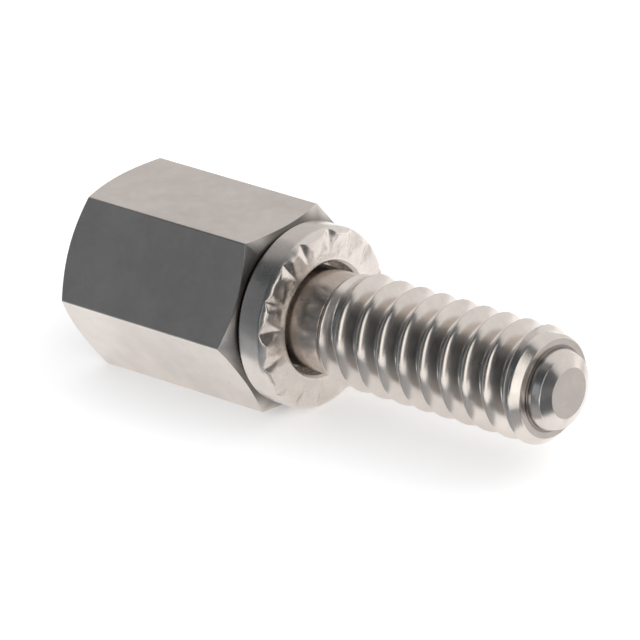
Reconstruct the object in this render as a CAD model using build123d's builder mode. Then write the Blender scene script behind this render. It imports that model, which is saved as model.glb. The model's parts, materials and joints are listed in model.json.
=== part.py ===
from build123d import *
import math
import os

# Hex jackscrew that carries a loose serrated washer. It lies on one hexagon flat.
# The screw runs along +X, from the tapped end of its hexagon to its dog point.
# The origin is under the middle of the screw, on the plane that the flat rests on.
# All sizes are in millimetres.

# Hexagonal body
hex_across_flats = 5.5
hex_length = 6.85
hex_chamfer_angle = 30.0       # from the end face
hex_face_margin = 0.13         # chamfer's radial width at the middle of a flat

# Plain shank and #6-32 thread
shank_length = 2.05            # from the hexagon to the first turn
thread_major_radius = 1.745
thread_pitch = 25.4 / 32
thread_angle = 60.0
thread_crest_width = 0.1
thread_root_width = 0.151
thread_length = 7.68
thread_lift = 0.215            # radial, how far rolling raised the crests above the shank
thread_start_cone = 0.4        # axial, from the shank up to the crests
thread_phase = 282.7           # degrees about +X
end_chamfer = 0.26             # 45 degrees, at the end of the thread
thread_run_out = 0.05          # how far the groove runs on into the end chamfer

# Dog point
dog_clearance = 0.075          # radial, inside the thread's root
dog_length = 0.57
dog_land = 0.16                # straight length, before the taper
dog_taper_length = 0.24
dog_taper_angle = 20.0         # from the axis
dog_face_radius = 0.75         # flat end that the bevel leaves

# Blind hole in the free end of the hexagon, tapped for a screw like this one
tapped_hole_clearance = 0.08   # radial, from a mating thread's root to the hole's thread tips
tapped_hole_depth = 4.6        # full-bore depth
tapped_mouth_clearance = 0.03  # radial, from a mating thread's crests to the 90 degree countersink
drill_point_angle = 118.0

# Serrated washer
washer_gap = 0.1               # free space between hexagon and washer
washer_thickness = 1.0
washer_rim_setback = 0.005     # how far the rim stays inside the hexagon's flats
washer_bore_clearance = 0.17   # radial, around the shank
washer_edge_width = 0.2        # radial and axial size of the front's rounded edge
washer_edge_radius = 0.3
washer_break = 0.09            # 45 degrees, at the back edge and at the bore's front edge
serration_count = 16
serration_depth = 0.2          # at the rim
serration_flank_angle = 66.0   # each flank, from the groove's centre plane
serration_margin = 0.22        # plain ring between the bore and the grooves
serration_phase = 11.25        # degrees about +X

# Places along the screw
total_length = hex_length + shank_length + thread_length + dog_length
hex_back_x = -total_length / 2
shoulder_x = hex_back_x + hex_length
thread_start_x = shoulder_x + shank_length
thread_end_x = thread_start_x + thread_length
tip_x = thread_end_x + dog_length

# Heights and radii that follow
axis_height = hex_across_flats / 2
hex_corner_radius = hex_across_flats / 2 / math.cos(math.radians(30))
hex_face_radius = hex_across_flats / 2 - hex_face_margin
flank_slope = math.tan(math.radians(thread_angle / 2))
thread_depth = (thread_pitch - thread_crest_width - thread_root_width) / (2 * flank_slope)
thread_root_radius = thread_major_radius - thread_depth
shank_radius = thread_major_radius - thread_lift
screw_axis = Axis((0, 0, axis_height), (1, 0, 0))
lengthwise_plane = Plane(origin=(0, 0, axis_height), x_dir=(1, 0, 0), z_dir=(0, -1, 0))


def cross_plane(x):
    """Plane square to the screw at x, with local x along +Y and local y along +Z."""
    return Plane(origin=(x, 0, axis_height), x_dir=(0, 1, 0), z_dir=(1, 0, 0))


# Stud: shank, thread and dog point as one turned profile, with the thread groove cut into it
end_face_radius = thread_major_radius - end_chamfer
chamfer_start_x = thread_end_x - end_chamfer
dog_radius = thread_root_radius - dog_clearance
dog_taper_x = thread_end_x + dog_land
dog_bevel_x = dog_taper_x + dog_taper_length
dog_bevel_radius = dog_radius - dog_taper_length * math.tan(math.radians(dog_taper_angle))
groove_clearance = 0.08        # how far the cutting profile stands out of the crests
groove_height = thread_depth + groove_clearance
groove_mouth_width = thread_root_width + 2 * groove_height * flank_slope
groove_start_x = thread_start_x + thread_start_cone / 2
groove_end_x = chamfer_start_x + thread_run_out

with BuildPart() as stud:
    with BuildSketch(lengthwise_plane):
        with BuildLine():
            Polyline(
                (tip_x, dog_face_radius),
                (tip_x, 0),
                (shoulder_x - shank_radius, 0),
                (shoulder_x - shank_radius, shank_radius),
                (thread_start_x, shank_radius),
                (thread_start_x + thread_start_cone, thread_major_radius),
                (chamfer_start_x, thread_major_radius),
                (thread_end_x, end_face_radius),
                (thread_end_x, dog_radius),
                (dog_taper_x, dog_radius),
                (dog_bevel_x, dog_bevel_radius),
                close=True,
            )
        make_face()
    revolve(axis=screw_axis)
    with BuildLine() as groove_path:
        groove_helix = Helix(
            pitch=thread_pitch,
            height=groove_end_x - groove_start_x,
            radius=thread_root_radius,
            center=(groove_start_x, 0, axis_height),
            direction=(1, 0, 0),
        )
    helix_start = groove_helix @ 0
    outward = helix_start - Vector(groove_start_x, 0, axis_height)
    with BuildSketch(Plane(origin=helix_start, x_dir=outward, z_dir=groove_helix % 0)):
        with BuildLine():
            Polyline(
                (0, -thread_root_width / 2),
                (groove_height, -groove_mouth_width / 2),
                (groove_height, groove_mouth_width / 2),
                (0, thread_root_width / 2),
                close=True,
            )
        make_face()
    sweep(path=groove_path.line, is_frenet=True, mode=Mode.SUBTRACT)

# Jackscrew: the hexagon, rounded at both ends by its chamfer cones, with the stud and the hole
cutter_radius = hex_corner_radius + 1
chamfer_run = (cutter_radius - hex_face_radius) * math.tan(math.radians(hex_chamfer_angle))
tapped_hole_radius = thread_root_radius + tapped_hole_clearance
mouth_radius = thread_major_radius + tapped_mouth_clearance
mouth_depth = mouth_radius - tapped_hole_radius
drill_tip_depth = tapped_hole_depth + tapped_hole_radius / math.tan(math.radians(drill_point_angle / 2))

with BuildPart() as jackscrew:
    with BuildSketch(cross_plane(hex_back_x)):
        RegularPolygon(radius=hex_across_flats / 2, side_count=6, major_radius=False)
    extrude(amount=hex_length)
    with BuildSketch(lengthwise_plane):
        with BuildLine():
            Polyline(
                (hex_back_x, 0),
                (hex_back_x, hex_face_radius),
                (hex_back_x + chamfer_run, cutter_radius),
                (shoulder_x - chamfer_run, cutter_radius),
                (shoulder_x, hex_face_radius),
                (shoulder_x, 0),
                close=True,
            )
        make_face()
    revolve(axis=screw_axis, mode=Mode.INTERSECT)
    add(stud.part.rotate(screw_axis, thread_phase))
    # Tapped blind hole with its countersink and drill point
    with BuildSketch(lengthwise_plane):
        with BuildLine():
            Polyline(
                (hex_back_x, 0),
                (hex_back_x, mouth_radius),
                (hex_back_x + mouth_depth, tapped_hole_radius),
                (hex_back_x + tapped_hole_depth, tapped_hole_radius),
                (hex_back_x + drill_tip_depth, 0),
                close=True,
            )
        make_face()
    revolve(axis=screw_axis, mode=Mode.SUBTRACT)

# Serrated washer, loose on the shank
washer_back_x = shoulder_x + washer_gap
washer_front_x = washer_back_x + washer_thickness
washer_bore_radius = shank_radius + washer_bore_clearance
washer_rim_radius = hex_across_flats / 2 - washer_rim_setback
serration_inner_radius = washer_bore_radius + serration_margin
serration_slope = math.atan(serration_depth / (washer_rim_radius - serration_inner_radius))
groove_reach = washer_rim_radius
groove_half_width = washer_thickness * math.tan(math.radians(serration_flank_angle))


def groove_plane(angle):
    """Plane square to a groove's sloping floor, at its inner end, with local y out of the face."""
    outward = Vector(0, math.cos(angle), math.sin(angle))
    around = Vector(0, -math.sin(angle), math.cos(angle))
    start = Vector(washer_front_x, 0, axis_height) + outward * serration_inner_radius
    floor = outward * math.cos(serration_slope) - Vector(math.sin(serration_slope), 0, 0)
    return Plane(origin=start, x_dir=around, z_dir=floor)


serration_step = 360 / serration_count
groove_planes = [
    groove_plane(math.radians(serration_phase + serration_step * n)) for n in range(serration_count)
]

with BuildPart() as serrated_washer:
    with BuildSketch(lengthwise_plane):
        with BuildLine():
            Polyline(
                (washer_front_x - washer_edge_width, washer_rim_radius),
                (washer_back_x + washer_break, washer_rim_radius),
                (washer_back_x, washer_rim_radius - washer_break),
                (washer_back_x, washer_bore_radius),
                (washer_front_x - washer_break, washer_bore_radius),
                (washer_front_x, washer_bore_radius + washer_break),
                (washer_front_x, washer_rim_radius - washer_edge_width),
            )
            RadiusArc(
                (washer_front_x, washer_rim_radius - washer_edge_width),
                (washer_front_x - washer_edge_width, washer_rim_radius),
                -washer_edge_radius,
            )
        make_face()
    revolve(axis=screw_axis)
    with BuildSketch(*groove_planes):
        with BuildLine():
            Polyline(
                (0, 0),
                (groove_half_width, washer_thickness),
                (-groove_half_width, washer_thickness),
                close=True,
            )
        make_face()
    extrude(amount=groove_reach, mode=Mode.SUBTRACT)

os.makedirs("parts", exist_ok=True)
jackscrew.part.label = "jackscrew"
export_step(jackscrew.part, "parts/jackscrew.step")
serrated_washer.part.label = "serrated_washer"
export_step(serrated_washer.part, "parts/serrated_washer.step")
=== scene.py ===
"""A hex-head jackscrew with a captive serrated washer, in satin nickel plate, on a pale studio floor."""

import json
import math
import random

import bmesh
import bpy
from mathutils import Matrix, Vector, noise


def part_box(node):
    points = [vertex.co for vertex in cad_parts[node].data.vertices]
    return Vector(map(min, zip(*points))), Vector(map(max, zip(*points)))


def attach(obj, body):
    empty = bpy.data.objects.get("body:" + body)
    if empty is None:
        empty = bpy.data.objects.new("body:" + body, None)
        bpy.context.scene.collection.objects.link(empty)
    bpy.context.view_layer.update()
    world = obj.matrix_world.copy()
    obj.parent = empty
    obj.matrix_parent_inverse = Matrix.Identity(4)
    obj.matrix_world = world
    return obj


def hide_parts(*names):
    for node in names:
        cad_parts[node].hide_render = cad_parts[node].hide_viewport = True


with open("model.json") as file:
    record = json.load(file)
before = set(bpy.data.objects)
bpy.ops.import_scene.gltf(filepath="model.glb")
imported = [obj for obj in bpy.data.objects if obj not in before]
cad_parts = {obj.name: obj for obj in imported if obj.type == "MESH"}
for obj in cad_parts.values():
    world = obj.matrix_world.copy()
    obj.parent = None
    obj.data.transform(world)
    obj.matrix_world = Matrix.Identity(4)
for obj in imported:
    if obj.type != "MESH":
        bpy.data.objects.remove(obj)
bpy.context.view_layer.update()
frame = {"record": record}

# Sizes are in millimetres, and become metres as each mesh is made
MM = 0.001
FULL_TURN = 2 * math.pi

# Places and main sizes come from the frame
screw_low, screw_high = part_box("jackscrew")
washer_low, washer_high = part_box("serrated_washer")
back_x = screw_low.x / MM
tip_x = screw_high.x / MM
across_flats = (screw_high.z - screw_low.z) / MM
axis_z = (screw_low.z + screw_high.z) / 2 / MM
washer_back_x = washer_low.x / MM
washer_front_x = washer_high.x / MM
washer_rim_radius = (washer_high.z - washer_low.z) / 2 / MM
bore_mount = next(m for m in frame["record"]["mounts"] if m["name"] == "tapped_hole")

# Hexagon
washer_gap = 0.1
hex_face_margin = 0.13         # chamfer's radial width at the middle of a flat
hex_chamfer_angle = 30
hex_corner_round = 0.07
hex_rim_round = 0.05
hex_round_limit = 0.8          # a rim's rounding, at most, against the chamfer's length
hex_edge_share = 0.5           # rounding of the chamfers' outer edges, against their inner ones
shoulder_x = washer_back_x - washer_gap
flat_radius = across_flats / 2
hex_face_radius = flat_radius - hex_face_margin
hex_chamfer_slope = math.tan(math.radians(hex_chamfer_angle))

# Painted shade, darkened into the colour where shade falls: the chamfer in the gap beside the washer, and
# the foot of the dog point.
# Each pair is where a fade starts and where it ends.
painted_shade_colour = 0.2            # colour where the painted shade is darkest, against the clean plate
painted_shade_edge = 0.012           # how far behind the chamfer's surface it ends
painted_shade_inner_radii = (1.9, 2.4)
painted_shade_radii = (2.76, 3.05)
foot_painted_shade = 0.8
foot_lengths = (0.04, 0.12)
foot_widths = (0.05, 0.09)
foot_tolerance = 0.001

# Shank and thread
shank_length = 2.05
thread_major_radius = 1.745
thread_pitch = 25.4 / 32
thread_angle = 60
thread_crest_width = 0.1
thread_root_width = 0.151
thread_phase = 282.7           # degrees about the screw
thread_lift = 0.215            # radial, from the shank up to the crests
thread_blend = 0.05            # rounding in the root
thread_crest_blend = 0.22      # rounding over the crest
envelope_blend = 0.02          # rounding where the groove leaves the turned radius
start_cone = 0.4
groove_run_out = 0.05
groove_fade = 0.15             # how far before its ends the groove starts to fade
groove_fade_in = 0.45
groove_fade_out = 0.1
end_chamfer = 0.26
end_chamfer_round = 0.05
flank_slope = math.tan(math.radians(thread_angle / 2))
thread_depth = (thread_pitch - thread_crest_width - thread_root_width) / (2 * flank_slope)
thread_root_radius = thread_major_radius - thread_depth
thread_start_angle = math.radians(90 + thread_phase)
shank_radius = thread_major_radius - thread_lift
thread_start_x = shoulder_x + shank_length

# Dog point
dog_clearance = 0.075
dog_length = 0.57
dog_land = 0.16
dog_taper_length = 0.24
dog_taper_angle = 20
dog_face_radius = 0.75
dog_foot_width = 0.11          # ring around the foot that may carry painted shade
ring_lap = 0.02                # how far the end ring starts inside the end chamfer
dog_rounds = [0.0, 0.05, 0.12, 0.06, 0.05]
thread_end_x = tip_x - dog_length
chamfer_start_x = thread_end_x - end_chamfer
groove_first_x = thread_start_x + start_cone / 2
groove_last_x = chamfer_start_x + groove_run_out
fade_in = (groove_first_x - groove_fade, groove_first_x + groove_fade_in)
fade_out = (groove_last_x - groove_fade, groove_last_x + groove_fade_out)
dog_radius = thread_root_radius - dog_clearance
dog_taper_x = thread_end_x + dog_land
dog_bevel_x = dog_taper_x + dog_taper_length
dog_bevel_radius = dog_radius - dog_taper_length * math.tan(math.radians(dog_taper_angle))

# Tapped hole
hole_depth = 4.6
hole_mouth_clearance = 0.03
hole_thread_clearance = 0.01
hole_thread_lead = 0.1         # how far outside the end face its helix is counted from
hole_fade = (1.6, 1.0)         # from the bottom, where its thread starts to fade and where it ends
hole_edge = 0.02
hole_edge_drop = 0.03
drill_point_angle = 118
hole_radius = bore_mount["dims"]["r_mm"]
hole_mouth_radius = thread_major_radius + hole_mouth_clearance
hole_thread_radius = thread_major_radius + hole_thread_clearance
drill_half_angle = math.radians(drill_point_angle / 2)

# Washer
washer_bore_clearance = 0.17
washer_edge_width = 0.2
washer_edge_radius = 0.3
washer_break = 0.09
washer_bore_round = 0.03
face_margin = 0.04             # between the bore's front edge and the first ring of the face
face_rows = 26
edge_steps = 10
rim_step = 0.06
rim_rings = 3
rim_lap = 0.25
washer_bore_radius = shank_radius + washer_bore_clearance

# Serrations. The uneven ones are drawn from the ranges below.
serration_count = 16
serration_depth = 0.2
serration_margin = 0.22
serration_flank_angle = 66
serration_phase = math.radians(11.25)
serration_seed = 7
serration_turn = 3             # degrees either way
serration_depths = (0.7, 1.0)
serration_shift = 0.1
serration_flanks = (0.9, 1.6)
serration_reach = 30           # degrees from its middle that one groove is looked for
serration_root = 0.04
serration_blend = 0.03
serrated_depth = 0.6           # how far behind the front face a ring may be cut
serrated_margin = 0.05
lump_ring = (0.1, 0.12)        # inside and outside the serrations' inner radius
lump_depths = (0.35, 0.12)     # behind the front face
lump_height = 0.022
lump_scale = 2.6
fleck_height = 0.0045
fleck_scale = 7.0
serration_inner_radius = washer_bore_radius + serration_margin
serration_flank = math.tan(math.radians(serration_flank_angle))

# Finish: noise scales, and how much each one changes
noise_range = (0.2, 0.8)
tone_scale, tone_detail, tone_grain = 650, 5, 0.72
tone_range = (0.84, 1.10)
gloss_scale, gloss_detail = 1400, 4
gloss_range = (-0.05, 0.06)
pit_scale, pit_detail, pit_share = 1500, 3, 0.8
drawn_scale, drawn_detail = 1600, 1
bump_strength = 0.1
bump_distance = 0.00002
shading_weight = 60


def smooth_step(low, high, value):
    """0 below low, 1 above high, and an S curve between."""
    t = min(max((value - low) / (high - low), 0.0), 1.0)
    return t * t * (3 - 2 * t)


def soft_min(a, b, blend):
    """The smaller of a and b, with the corner between them rounded."""
    h = max(blend - abs(a - b), 0.0) / blend
    return min(a, b) - h * h * blend / 4


def rounded(points, rounds, steps=4):
    """An open outline of (x, radius) points, with an arc of steps segments at each inner corner."""
    out = [points[0]]
    for before, corner, after, size in zip(points, points[1:], points[2:], rounds):
        corner = Vector(corner)
        towards = (Vector(before) - corner).normalized()
        away = (Vector(after) - corner).normalized()
        half = math.acos(max(-1.0, min(1.0, towards.dot(away)))) / 2
        if size <= 0 or half > math.radians(89.5):
            out.append(tuple(corner))
            continue
        reach = size / math.tan(half)
        centre = corner + (towards + away).normalized() * size / math.sin(half)
        first, last = corner + towards * reach - centre, corner + away * reach - centre
        for n in range(steps + 1):
            blend = first.lerp(last, n / steps)
            out.append(tuple(centre + blend.normalized() * size))
    out.append(points[-1])
    return out


def arc_between(start, end, radius, steps):
    """Points on the outward arc from start to end, both (x, radius), without the two ends."""
    start, end = Vector(start), Vector(end)
    middle = (start + end) / 2
    half = (end - start).length / 2
    normal = Vector((-(end - start).y, (end - start).x)).normalized()
    if normal.y < 0:
        normal = -normal
    centre = middle - normal * math.sqrt(radius**2 - half**2)
    a, b = start - centre, end - centre
    points = []
    for n in range(1, steps):
        t = n / steps
        points.append(tuple(centre + a.lerp(b, t).normalized() * radius))
    return points


def make_piece(name, vertices, faces):
    """A mesh object from vertices in millimetres, welded where points meet, smooth shaded."""
    mesh = bpy.data.meshes.new(name)
    mesh.from_pydata([tuple(c * MM for c in v) for v in vertices], [], faces)
    bm = bmesh.new()
    bm.from_mesh(mesh)
    bmesh.ops.remove_doubles(bm, verts=bm.verts, dist=2e-7)
    bmesh.ops.dissolve_degenerate(bm, edges=bm.edges, dist=1e-8)
    bmesh.ops.recalc_face_normals(bm, faces=bm.faces)
    for face in bm.faces:
        face.smooth = True
    bm.to_mesh(mesh)
    bm.free()
    piece = bpy.data.objects.new(name, mesh)
    bpy.context.scene.collection.objects.link(piece)
    return piece


# ---------------------------------------------------------------- the screw
# Every section of the screw uses the same columns, at the angles that suit the hexagon:
# several on each rounded corner and evenly spaced ones along each flat.
corner_steps = 6
flat_steps = 25


def hexagon_columns():
    """(angle about +X from +Y, radius) of each column on the hexagon's outline."""
    points = []
    corner_centre = (flat_radius - hex_corner_round) / math.cos(math.radians(30))
    for side in range(6):
        corner_angle = math.radians(60 * side)
        arc = []
        for n in range(corner_steps + 1):
            normal = corner_angle + math.radians(-30 + 60 * n / corner_steps)
            arc.append(Vector((
                corner_centre * math.cos(corner_angle) + hex_corner_round * math.cos(normal),
                corner_centre * math.sin(corner_angle) + hex_corner_round * math.sin(normal),
            )))
        turn = math.radians(60)
        onward = Vector((
            arc[0].x * math.cos(turn) - arc[0].y * math.sin(turn),
            arc[0].x * math.sin(turn) + arc[0].y * math.cos(turn),
        ))
        points += arc
        points += [arc[-1].lerp(onward, n / flat_steps) for n in range(1, flat_steps)]
    return [(math.atan2(p.y, p.x) % FULL_TURN, p.length) for p in points]


columns = sorted(hexagon_columns())
angles = [a for a, _ in columns]
hex_radii = [r for _, r in columns]
column_count = len(columns)


class Lathe:
    """Collects rings of points around the screw's axis, and joins them into one skin."""

    def __init__(self, column_angles):
        self.angles = column_angles
        self.vertices, self.faces, self.ring_start = [], [], None

    def point(self, x, radius, angle):
        return (x, radius * math.cos(angle), axis_z + radius * math.sin(angle))

    def ring(self, at):
        """One ring. at(column) gives its (x, radius)."""
        start = len(self.vertices)
        for j, angle in enumerate(self.angles):
            self.vertices.append(self.point(*at(j), angle))
        count = len(self.angles)
        if self.ring_start is not None:
            for j in range(count):
                k = (j + 1) % count
                self.faces.append((self.ring_start + j, self.ring_start + k, start + k, start + j))
        self.ring_start = start

    def plain(self, points):
        """One ring for each (x, radius)."""
        for p in points:
            self.ring(lambda j, p=p: p)

    def closed(self, name):
        return make_piece(name, self.vertices, self.faces)


# One pitch of the thread's section. Distances are from the middle of the groove.
half_pitch = thread_pitch / 2
crest_start = half_pitch - thread_crest_width / 2


def groove_depth(distance, depth):
    """How far a groove has cut at that distance from its middle, with rounded root and crests."""
    slope = (crest_start - distance) / flank_slope
    raised = -soft_min(-slope, 0.0, thread_crest_blend)
    return max(soft_min(raised, depth, thread_blend), 0.0)


def winding(x, angle, first_x):
    """(distance to the nearest groove's middle, x of that middle) at a point beside the helix."""
    turn = (x - first_x) / thread_pitch - (angle - thread_start_angle) / FULL_TURN
    whole = round(turn)
    return abs(turn - whole) * thread_pitch, x - (turn - whole) * thread_pitch


def stud_envelope(x):
    """The turned radius before the groove is rolled in."""
    lift = smooth_step(thread_start_x, thread_start_x + start_cone, x)
    return shank_radius + (thread_major_radius - shank_radius) * lift


def stud_radius(x, angle):
    distance, middle_x = winding(x, angle, groove_first_x)
    fade = smooth_step(*fade_in, middle_x) * (1 - smooth_step(*fade_out, middle_x))
    major = thread_major_radius - fade * groove_depth(distance, thread_depth)
    return soft_min(stud_envelope(x), major, envelope_blend)


hole_bottom_x = back_x + hole_depth
hole_first_x = back_x - hole_thread_lead


def hole_envelope(x):
    """The hole's plain radius with its countersink."""
    return max(hole_radius, hole_mouth_radius - (x - back_x))


def hole_surface(x, angle):
    distance, middle_x = winding(x, angle, hole_first_x)
    fade = 1 - smooth_step(hole_bottom_x - hole_fade[0], hole_bottom_x - hole_fade[1], middle_x)
    depth = hole_thread_radius - hole_radius
    raised = groove_depth(half_pitch - distance, depth)
    cut = hole_radius + fade * (depth - raised)
    return max(hole_envelope(x), cut)


screw = Lathe(angles)
# Blind hole: drill point, then the internal thread out to the end face
drill_tip_x = hole_bottom_x + hole_radius / math.tan(drill_half_angle)
screw.plain([(drill_tip_x, 0.0), (drill_tip_x - hole_edge, hole_edge * math.tan(drill_half_angle))])
screw.plain([(hole_bottom_x + hole_edge, hole_radius - hole_edge_drop), (hole_bottom_x, hole_radius)])
hole_rows = 90
for n in range(1, hole_rows + 1):
    x = hole_bottom_x + (back_x - hole_bottom_x) * n / hole_rows
    screw.ring(lambda j, x=x: (x, hole_surface(x, angles[j])))


# Hexagon: end face, chamfer, flat, chamfer, shoulder, with a small round at each edge
def hexagon_outline(j):
    radius = hex_radii[j]
    run = (radius - hex_face_radius) * hex_chamfer_slope
    size = min(hex_rim_round, run * hex_round_limit)
    return rounded(
        [
            (back_x, hole_mouth_radius),
            (back_x, hex_face_radius),
            (back_x + run, radius),
            (shoulder_x - run, radius),
            (shoulder_x, hex_face_radius),
            (shoulder_x, shank_radius),
        ],
        [size, size * hex_edge_share, size * hex_edge_share, size],
    )


outlines = [hexagon_outline(j) for j in range(column_count)]
for row in range(1, len(outlines[0])):
    screw.ring(lambda j: outlines[j][row])

# Shank, thread, end chamfer and dog point
zone_lead = 0.1
shank_ring_step = 0.6
zone_rows = 372
thread_zone = (thread_start_x - zone_lead, thread_end_x)
screw.plain([(thread_zone[0] - shank_ring_step, shank_radius), (thread_zone[0], shank_radius)])
for n in range(1, zone_rows + 1):
    x = thread_zone[0] + (thread_zone[1] - thread_zone[0]) * n / zone_rows
    cone = thread_major_radius - (x - chamfer_start_x)
    screw.ring(lambda j, x=x, cone=cone: (x, soft_min(cone, stud_radius(x, angles[j]), end_chamfer_round)))
screw.plain(rounded(
    [
        (thread_end_x, thread_major_radius - end_chamfer - ring_lap),
        (thread_end_x, dog_radius + dog_foot_width),
        (thread_end_x, dog_radius),
        (dog_taper_x, dog_radius),
        (dog_bevel_x, dog_bevel_radius),
        (tip_x, dog_face_radius),
        (tip_x, dog_face_radius / 2),
    ],
    dog_rounds,
    5,
))
screw.plain([(tip_x, 0.0)])
jackscrew = screw.closed("jackscrew_skin")

# Painted shade: the chamfer in the gap beside the washer, and the foot of the dog point, are darkened in
# the colour
painted_shade = jackscrew.data.attributes.new("painted_shade", "FLOAT", "POINT")
for vertex, value in zip(jackscrew.data.vertices, painted_shade.data):
    x, radius = vertex.co.x / MM, math.hypot(vertex.co.y, vertex.co.z - axis_z * MM) / MM
    before = shoulder_x - x - (radius - hex_face_radius) * hex_chamfer_slope
    value.value = (1 - smooth_step(0.0, painted_shade_edge, before)) * smooth_step(*painted_shade_inner_radii, radius)
    value.value *= 1 - smooth_step(*painted_shade_radii, radius)
    if x > thread_end_x - foot_tolerance:
        foot = 1 - smooth_step(*foot_lengths, x - thread_end_x)
        foot *= 1 - smooth_step(*foot_widths, radius - dog_radius)
        value.value = max(value.value, foot_painted_shade * foot)

# ---------------------------------------------------------------- the washer
rng = random.Random(serration_seed)
washer_columns = 720
serrations = [
    {
        "angle": (
            serration_phase + FULL_TURN * n / serration_count
            + math.radians(rng.uniform(-serration_turn, serration_turn))
        ),
        "depth": serration_depth * rng.uniform(*serration_depths),
        "start": rng.uniform(-serration_shift, serration_shift),
        "flanks": [serration_flank * rng.uniform(*serration_flanks) for _ in range(2)],
    }
    for n in range(serration_count)
]


def serrated_x(x, radius, angle):
    """How far forward the washer reaches at that place once its grooves are pressed in."""
    reach = washer_rim_radius - serration_inner_radius
    for groove in serrations:
        apart = (angle - groove["angle"] + math.pi) % FULL_TURN - math.pi
        if abs(apart) > math.radians(serration_reach):
            continue
        along = radius * math.cos(apart) - serration_inner_radius - groove["start"]
        aside = math.hypot(radius * math.sin(apart), serration_root)
        floor = washer_front_x - along * groove["depth"] / reach + aside / groove["flanks"][apart > 0]
        x = soft_min(x, floor, serration_blend)
    ring = (serration_inner_radius - lump_ring[0], serration_inner_radius + lump_ring[1])
    inside = smooth_step(*ring, radius)
    inside *= smooth_step(washer_front_x - lump_depths[0], washer_front_x - lump_depths[1], x)
    place = Vector((0.0, radius * math.cos(angle), radius * math.sin(angle)))
    lumps = noise.noise(place * lump_scale) * lump_height
    lumps += noise.noise(place * fleck_scale) * fleck_height
    return x + (lumps - lump_height) * inside


def washer_outline():
    front = [
        (washer_back_x, washer_bore_radius),
        (washer_front_x - washer_break, washer_bore_radius),
        (washer_front_x, washer_bore_radius + washer_break),
    ]
    bore_rounds = [washer_bore_round, washer_bore_round]
    points = rounded(front + [(washer_front_x, washer_rim_radius)], bore_rounds, 3)[:-1]
    inner = washer_bore_radius + washer_break + face_margin
    outer = washer_rim_radius - washer_edge_width
    points += [(washer_front_x, inner + (outer - inner) * n / face_rows) for n in range(face_rows + 1)]
    edge_end = (washer_front_x - washer_edge_width, washer_rim_radius)
    points += arc_between(points[-1], edge_end, washer_edge_radius, edge_steps) + [edge_end]
    points += [(edge_end[0] - rim_step * n, washer_rim_radius) for n in range(1, rim_rings + 1)]
    points += rounded(
        [
            (edge_end[0] - rim_lap, washer_rim_radius),
            (washer_back_x, washer_rim_radius),
            (washer_back_x, washer_bore_radius + washer_bore_round),
        ],
        [washer_break],
        4,
    )
    return points


ring_skin = Lathe([FULL_TURN * n / washer_columns for n in range(washer_columns)])
for x, radius in washer_outline():
    if x > washer_front_x - serrated_depth and radius > serration_inner_radius - serrated_margin:
        ring_skin.ring(lambda j, x=x, r=radius: (serrated_x(x, r, ring_skin.angles[j]), r))
    else:
        ring_skin.plain([(x, radius)])
first_ring = 0
last_ring = ring_skin.ring_start
for j in range(washer_columns):
    k = (j + 1) % washer_columns
    ring_skin.faces.append((last_ring + j, last_ring + k, first_ring + k, first_ring + j))
washer = ring_skin.closed("serrated_washer_skin")


# ---------------------------------------------------------------- materials
def plated(name, colour, roughness, drawn):
    """Satin plate: a metal with cloudy colour, uneven gloss, and fine marks that drawn stretches."""
    material = bpy.data.materials.new(name)
    material.use_nodes = True
    nodes, links = material.node_tree.nodes, material.node_tree.links
    shader = nodes["Principled BSDF"]
    shader.inputs["Metallic"].default_value = 1.0
    place = nodes.new("ShaderNodeTexCoord")

    def cloud(scale, detail, stretch=(1.0, 1.0, 1.0), grain=0.5):
        mapping = nodes.new("ShaderNodeMapping")
        mapping.inputs["Scale"].default_value = stretch
        links.new(place.outputs["Object"], mapping.inputs["Vector"])
        texture = nodes.new("ShaderNodeTexNoise")
        texture.inputs["Scale"].default_value = scale
        texture.inputs["Detail"].default_value = detail
        texture.inputs["Roughness"].default_value = grain
        links.new(mapping.outputs["Vector"], texture.inputs["Vector"])
        return texture.outputs["Fac"]

    def spread(value, low, high):
        remap = nodes.new("ShaderNodeMapRange")
        remap.inputs["From Min"].default_value = noise_range[0]
        remap.inputs["From Max"].default_value = noise_range[1]
        remap.inputs["To Min"].default_value = low
        remap.inputs["To Max"].default_value = high
        links.new(value, remap.inputs["Value"])
        return remap.outputs["Result"]

    mix = nodes.new("ShaderNodeMix")
    mix.data_type = "RGBA"
    mix.inputs["A"].default_value = (*[c * tone_range[0] for c in colour], 1)
    mix.inputs["B"].default_value = (*[c * tone_range[1] for c in colour], 1)
    tone = cloud(tone_scale, tone_detail, grain=tone_grain)
    links.new(spread(tone, 0.0, 1.0), mix.inputs["Factor"])
    # Painted shade: darkens the base colour in the gap beside the washer and at the dog point's foot
    painted_shade_mask = nodes.new("ShaderNodeAttribute")
    painted_shade_mask.attribute_name = "painted_shade"
    darker = nodes.new("ShaderNodeMix")
    darker.data_type = "RGBA"
    darker.inputs["B"].default_value = (*[c * painted_shade_colour for c in colour], 1)
    links.new(painted_shade_mask.outputs["Fac"], darker.inputs["Factor"])
    links.new(mix.outputs["Result"], darker.inputs["A"])
    links.new(darker.outputs["Result"], shader.inputs["Base Color"])
    gloss = cloud(gloss_scale, gloss_detail)
    gloss = spread(gloss, roughness + gloss_range[0], roughness + gloss_range[1])
    links.new(gloss, shader.inputs["Roughness"])
    marks = nodes.new("ShaderNodeMath")
    marks.operation = "ADD"
    links.new(spread(cloud(pit_scale, pit_detail), 0.0, pit_share), marks.inputs[0])
    links.new(spread(cloud(drawn_scale, drawn_detail, drawn), 0.0, 1.0), marks.inputs[1])
    bump = nodes.new("ShaderNodeBump")
    bump.inputs["Strength"].default_value = bump_strength
    bump.inputs["Distance"].default_value = bump_distance
    links.new(marks.outputs[0], bump.inputs["Height"])
    links.new(bump.outputs["Normal"], shader.inputs["Normal"])
    return material


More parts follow.
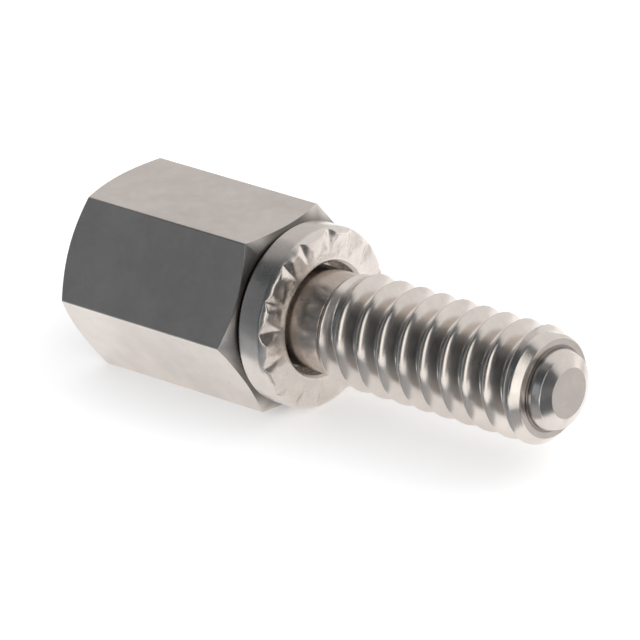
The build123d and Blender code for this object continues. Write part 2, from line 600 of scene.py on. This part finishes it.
screw_metal = plated("screw_nickel", (0.66, 0.605, 0.56), 0.23, (0.08, 1.0, 1.0))
washer_metal = plated("washer_nickel", (0.67, 0.615, 0.57), 0.26, (1.0, 1.0, 1.0))

for piece, body, node, slot, material in (
    (jackscrew, "screw", "jackscrew", "screw_metal", screw_metal),
    (washer, "washer", "serrated_washer", "washer_metal", washer_metal),
):
    piece.data.materials.append(material)
    weighted = piece.modifiers.new("even_shading", "WEIGHTED_NORMAL")
    weighted.mode = "FACE_AREA"
    weighted.weight = shading_weight
    weighted.keep_sharp = True
    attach(piece, body)
    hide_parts(node)

# ---------------------------------------------------------------- studio
# A pale floor and world, two soft lamps that don't show in the metal, and cards of one tone
# that only show in it. The cards stand for what the photographed metal reflects.
floor_size = 0.4
floor_tone = 0.9
floor_roughness = 0.6
floor_lift = 0.32              # brings the lit paper up to white, and keeps its shadow
floor_gloss_lift = 0.16        # the same again, for the floor as it shows in the metal
hood_distance = 0.08
strip_distance = 0.077         # bright strips stand just inside the other cards
hood_steps = 10
card_lift = 0.05
world_colour = (0.97, 0.98, 1.0)
world_strength = 0.75


def panel(name, corners, faces):
    """A flat or curved piece of the studio."""
    mesh = bpy.data.meshes.new(name)
    mesh.from_pydata(corners, [], faces)
    piece = bpy.data.objects.new(name, mesh)
    bpy.context.scene.collection.objects.link(piece)
    return piece


def seen_rays(nodes, links):
    """1 for the rays that show the studio itself: camera, glossy and transmission."""
    rays = nodes.new("ShaderNodeLightPath")
    last = rays.outputs["Is Camera Ray"]
    for kind in ("Is Glossy Ray", "Is Transmission Ray"):
        either = nodes.new("ShaderNodeMath")
        either.operation = "MAXIMUM"
        links.new(last, either.inputs[0])
        links.new(rays.outputs[kind], either.inputs[1])
        last = either.outputs[0]
    return last


half = floor_size / 2
floor_corners = [(-half, -half, 0), (half, -half, 0), (half, half, 0), (-half, half, 0)]
floor = panel("floor", floor_corners, [(0, 1, 2, 3)])
paper = bpy.data.materials.new("floor_paper")
paper.use_nodes = True
nodes, links = paper.node_tree.nodes, paper.node_tree.links
matt = nodes["Principled BSDF"]
matt.inputs["Base Color"].default_value = (floor_tone, floor_tone, floor_tone, 1)
matt.inputs["Roughness"].default_value = floor_roughness
matt.inputs["Specular IOR Level"].default_value = 0.0
glow = nodes.new("ShaderNodeEmission")
glow.inputs["Color"].default_value = (1, 1, 1, 1)
lift = nodes.new("ShaderNodeMath")
lift.operation = "MULTIPLY_ADD"
lift.inputs[1].default_value = floor_lift
links.new(seen_rays(nodes, links), lift.inputs[0])
more = nodes.new("ShaderNodeMath")
more.operation = "MULTIPLY"
more.inputs[1].default_value = floor_gloss_lift
links.new(nodes.new("ShaderNodeLightPath").outputs["Is Glossy Ray"], more.inputs[0])
links.new(more.outputs[0], lift.inputs[2])
links.new(lift.outputs[0], glow.inputs["Strength"])
lit = nodes.new("ShaderNodeAddShader")
links.new(matt.outputs["BSDF"], lit.inputs[0])
links.new(glow.outputs["Emission"], lit.inputs[1])
links.new(lit.outputs["Shader"], nodes["Material Output"].inputs["Surface"])
floor.data.materials.append(paper)

target = Vector((0.0, 0.0, axis_z * MM))


def from_bearing(azimuth, elevation):
    """Unit vector from the object: azimuth 0 is towards -Y and 90 towards +X."""
    a, e = math.radians(azimuth), math.radians(elevation)
    return Vector((math.cos(e) * math.sin(a), -math.cos(e) * math.cos(a), math.sin(e)))


def soft_box(name, azimuth, elevation, distance, size, radiance, colour):
    """A square area light that faces the object. radiance is how bright it looks."""
    lamp = bpy.data.lights.new(name, "AREA")
    lamp.shape = "SQUARE"
    lamp.size = size
    lamp.energy = radiance * math.pi * size**2
    lamp.color = colour
    holder = bpy.data.objects.new(name, lamp)
    holder.visible_glossy = False
    towards = from_bearing(azimuth, elevation)
    holder.location = target + towards * distance
    holder.rotation_euler = towards.to_track_quat("Z", "Y").to_euler()
    bpy.context.scene.collection.objects.link(holder)


def glossy_card(name, corners, faces, colour):
    """A card of one tone that only shows in the metal."""
    card = panel(name, corners, faces)
    material = bpy.data.materials.new(name)
    material.use_nodes = True
    nodes, links = material.node_tree.nodes, material.node_tree.links
    nodes.remove(nodes["Principled BSDF"])
    tone = nodes.new("ShaderNodeEmission")
    tone.inputs["Color"].default_value = (*colour, 1)
    links.new(tone.outputs["Emission"], nodes["Material Output"].inputs["Surface"])
    card.data.materials.append(material)
    card.visible_camera = False
    card.visible_shadow = False
    card.visible_diffuse = False


def hood_card(name, low, high, colour, distance=hood_distance):
    """A curved card between two elevations. low and high are each (elevation, first and last azimuth)."""
    corners, faces = [], []
    for row in range(hood_steps + 1):
        up = row / hood_steps
        elevation, first, last = [a + (b - a) * up for a, b in zip(low, high)]
        for column in range(hood_steps + 1):
            azimuth = first + (last - first) * column / hood_steps
            corner = target + from_bearing(azimuth, elevation) * distance
            corners.append((corner.x, corner.y, max(corner.z, 0.0)))
    for row in range(hood_steps):
        for column in range(hood_steps):
            n = row * (hood_steps + 1) + column
            faces.append((n, n + 1, n + hood_steps + 2, n + hood_steps + 1))
    glossy_card(name, corners, faces, colour)


def floor_card(name, x_span, y_span, colour):
    """A card that lies on the floor. The spans are in millimetres."""
    corners = [(x * MM, y * MM, card_lift * MM) for x in x_span for y in y_span]
    glossy_card(name, corners, [(0, 1, 3, 2)], colour)


# Name, azimuth, elevation, distance and size in metres, brightness, colour
soft_box("key_light", 62, 32, 0.2, 0.13, 1.7, (1.0, 0.98, 0.95))
soft_box("top_light", 130, 50, 0.2, 0.16, 1.0, (1.0, 0.97, 0.94))

# Name, lower edge and upper edge as (elevation, first azimuth, last azimuth), colour
hood_card("front_left_card", (-2, -85, -30), (36, -85, -30), (0.195, 0.21, 0.228))
hood_card("front_card", (-2, -30, 45), (36, -30, 60), (0.072, 0.085, 0.098))
hood_card("right_card", (-2, 60, 108), (36, 79, 108), (0.07, 0.08, 0.095))
hood_card("upper_card", (36, -85, 108), (70, -85, 108), (0.08, 0.092, 0.104))
hood_card("cap_card", (70, -150, 130), (90, -150, 130), (0.25, 0.27, 0.29))
hood_card("left_card", (30, -118, -85), (70, -118, -85), (0.43, 0.43, 0.44))
hood_card("back_left_card", (0, -155, -118), (64, -155, -118), (0.755, 0.745, 0.745))
hood_card("key_card", (-2, 45, 60), (36, 60, 79), (1.9, 1.87, 1.81), strip_distance)
hood_card("key_card_top", (36, 60, 79), (46, 72, 94), (1.9, 1.87, 1.82), strip_distance)
hood_card("blue_strip", (2, 1, 16), (32, 3, 18), (0.45, 0.52, 0.57), strip_distance)

# Name, span along the screw, span across it, colour
floor_card("stud_floor_card", (0.5, 12), (-4.5, -2.2), (0.50, 0.51, 0.52))
floor_card("near_floor_card", (-3, 12), (-7, -4.5), (0.40, 0.42, 0.44))
floor_card("mid_floor_card", (-3, 12), (-12, -7), (0.27, 0.30, 0.34))
floor_card("far_floor_card", (-3, 12), (-90, -12), (0.16, 0.18, 0.21))
floor_card("left_floor_card", (-40, -3), (-12, -5), (0.47, 0.51, 0.54))
floor_card("far_left_floor_card", (-60, -3), (-90, -12), (0.26, 0.28, 0.31))
floor_card("right_floor_card", (11, 32), (-5.5, 1), (0.13, 0.145, 0.165))
floor_card("far_right_floor_card", (32, 90), (-9, 12), (0.13, 0.145, 0.165))
floor_card("key_floor_card", (14, 24), (-16, -7), (1.6, 1.58, 1.52))
floor_card("tip_floor_card", (9, 30), (1.1, 16), (0.77, 0.755, 0.755))

world = bpy.data.worlds.new("studio")
bpy.context.scene.world = world
world.use_nodes = True
nodes, links = world.node_tree.nodes, world.node_tree.links
nodes.clear()
light = nodes.new("ShaderNodeBackground")
light.inputs["Color"].default_value = (*world_colour, 1)
light.inputs["Strength"].default_value = world_strength
white = nodes.new("ShaderNodeBackground")
white.inputs["Color"].default_value = (1, 1, 1, 1)
white.inputs["Strength"].default_value = 1.0
choose = nodes.new("ShaderNodeMixShader")
out = nodes.new("ShaderNodeOutputWorld")
links.new(seen_rays(nodes, links), choose.inputs["Fac"])
links.new(light.outputs[0], choose.inputs[1])
links.new(white.outputs[0], choose.inputs[2])
links.new(choose.outputs[0], out.inputs["Surface"])

# ---------------------------------------------------------------- camera
view_azimuth, view_elevation, view_roll = 43.72, 25.84, 5.66
view_distance = 0.2071
view_width = 0.01862
near_limit = 0.01
aim = Vector((-0.00049, -0.00039, 0.00292))

camera_data = bpy.data.cameras.new("camera")
camera = bpy.data.objects.new("camera", camera_data)
bpy.context.scene.collection.objects.link(camera)
bpy.context.scene.camera = camera
towards = from_bearing(view_azimuth, view_elevation)
level = towards.to_track_quat("Z", "Y")
camera.location = aim + towards * view_distance
roll = math.radians(view_roll)
camera.rotation_euler = (level.to_matrix() @ Matrix.Rotation(-roll, 3, "Z")).to_euler()
camera_data.angle = 2 * math.atan(view_width / 2 / view_distance)
camera_data.clip_start = near_limit

scene = bpy.context.scene
scene.view_settings.view_transform = "Standard"
